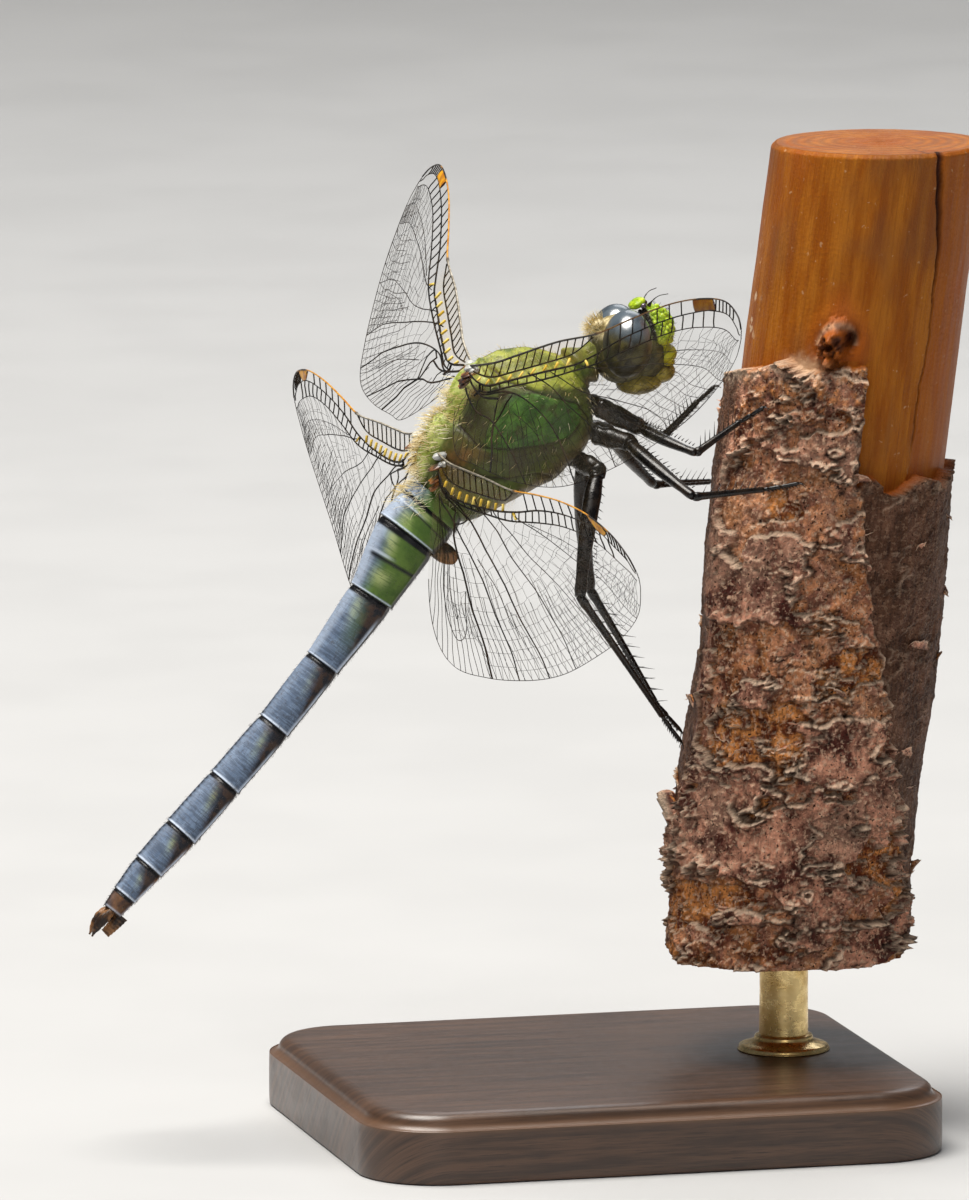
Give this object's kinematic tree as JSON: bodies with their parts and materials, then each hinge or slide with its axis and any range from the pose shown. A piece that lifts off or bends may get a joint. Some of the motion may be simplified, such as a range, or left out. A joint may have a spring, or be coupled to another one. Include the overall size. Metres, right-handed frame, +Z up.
{
  "type": "dragonfly",
  "caption": "Life-size still male pondhawk dragonfly with spread wings, gripping a short cut branch held upright on a plain flat display stand.",
  "frame": {"origin": "centre of the stand base's flat underside", "axes": "+Z up; the head points to +X and up, the animal's right side faces -Y, and its mid-plane is the XZ plane"},
  "size_m": [0.0465, 0.0665, 0.0495],
  "materials": {
    "eye_surface": "glossy, grey-blue above and brown below",
    "face_green": "satin yellow-green",
    "mouth_yellow_brown": "satin",
    "head_shell": "satin, hairy",
    "leg_black": "glossy black",
    "thorax_green": "satin green, fine hair",
    "abdomen_green": "green under a blue-grey bloom",
    "abdomen_blue": "waxy blue-grey bloom",
    "tail_brown": "satin brown",
    "wing_membrane": "clear with black veins",
    "branch_bark": "rough flaking bark over smooth bare wood",
    "stand_wood": "satin dark wood",
    "stand_brass": "polished"
  },
  "bodies": {
    "root": {"head": "head_shell", "eye_left": "eye_surface", "eye_right": "eye_surface", "frons": "face_green", "vertex": "face_green", "clypeus": "face_green", "labrum": "mouth_yellow_brown", "labium": "mouth_yellow_brown", "antenna_left": "leg_black", "antenna_right": "leg_black", "prothorax": "thorax_green", "thorax": "thorax_green", "abdomen_segment_1": "abdomen_green", "abdomen_segment_2": "abdomen_green", "abdomen_segment_3": "abdomen_green", "abdomen_segment_4": "abdomen_blue", "abdomen_segment_5": "abdomen_blue", "abdomen_segment_6": "abdomen_blue", "abdomen_segment_7": "abdomen_blue", "abdomen_segment_8": "abdomen_blue", "abdomen_segment_9": "abdomen_blue", "abdomen_segment_10": "abdomen_blue", "cercus_left": "tail_brown", "cercus_right": "tail_brown", "epiproct": "tail_brown", "hamule": "tail_brown", "forewing_right": "wing_membrane", "forewing_left": "wing_membrane", "hindwing_right": "wing_membrane", "hindwing_left": "wing_membrane", "front_leg_right_femur": "leg_black", "front_leg_right_tibia": "leg_black", "front_leg_right_tarsus": "leg_black", "middle_leg_right_femur": "leg_black", "middle_leg_right_tibia": "leg_black", "middle_leg_right_tarsus": "leg_black", "hind_leg_right_femur": "leg_black", "hind_leg_right_tibia": "leg_black", "hind_leg_right_tarsus": "leg_black", "front_leg_left_femur": "leg_black", "front_leg_left_tibia": "leg_black", "front_leg_left_tarsus": "leg_black", "middle_leg_left_femur": "leg_black", "middle_leg_left_tibia": "leg_black", "middle_leg_left_tarsus": "leg_black", "hind_leg_left_femur": "leg_black", "hind_leg_left_tibia": "leg_black", "hind_leg_left_tarsus": "leg_black", "perch_branch": "branch_bark", "stand_base": "stand_wood", "stand_rod": "stand_brass"}
  },
  "joints": []
}
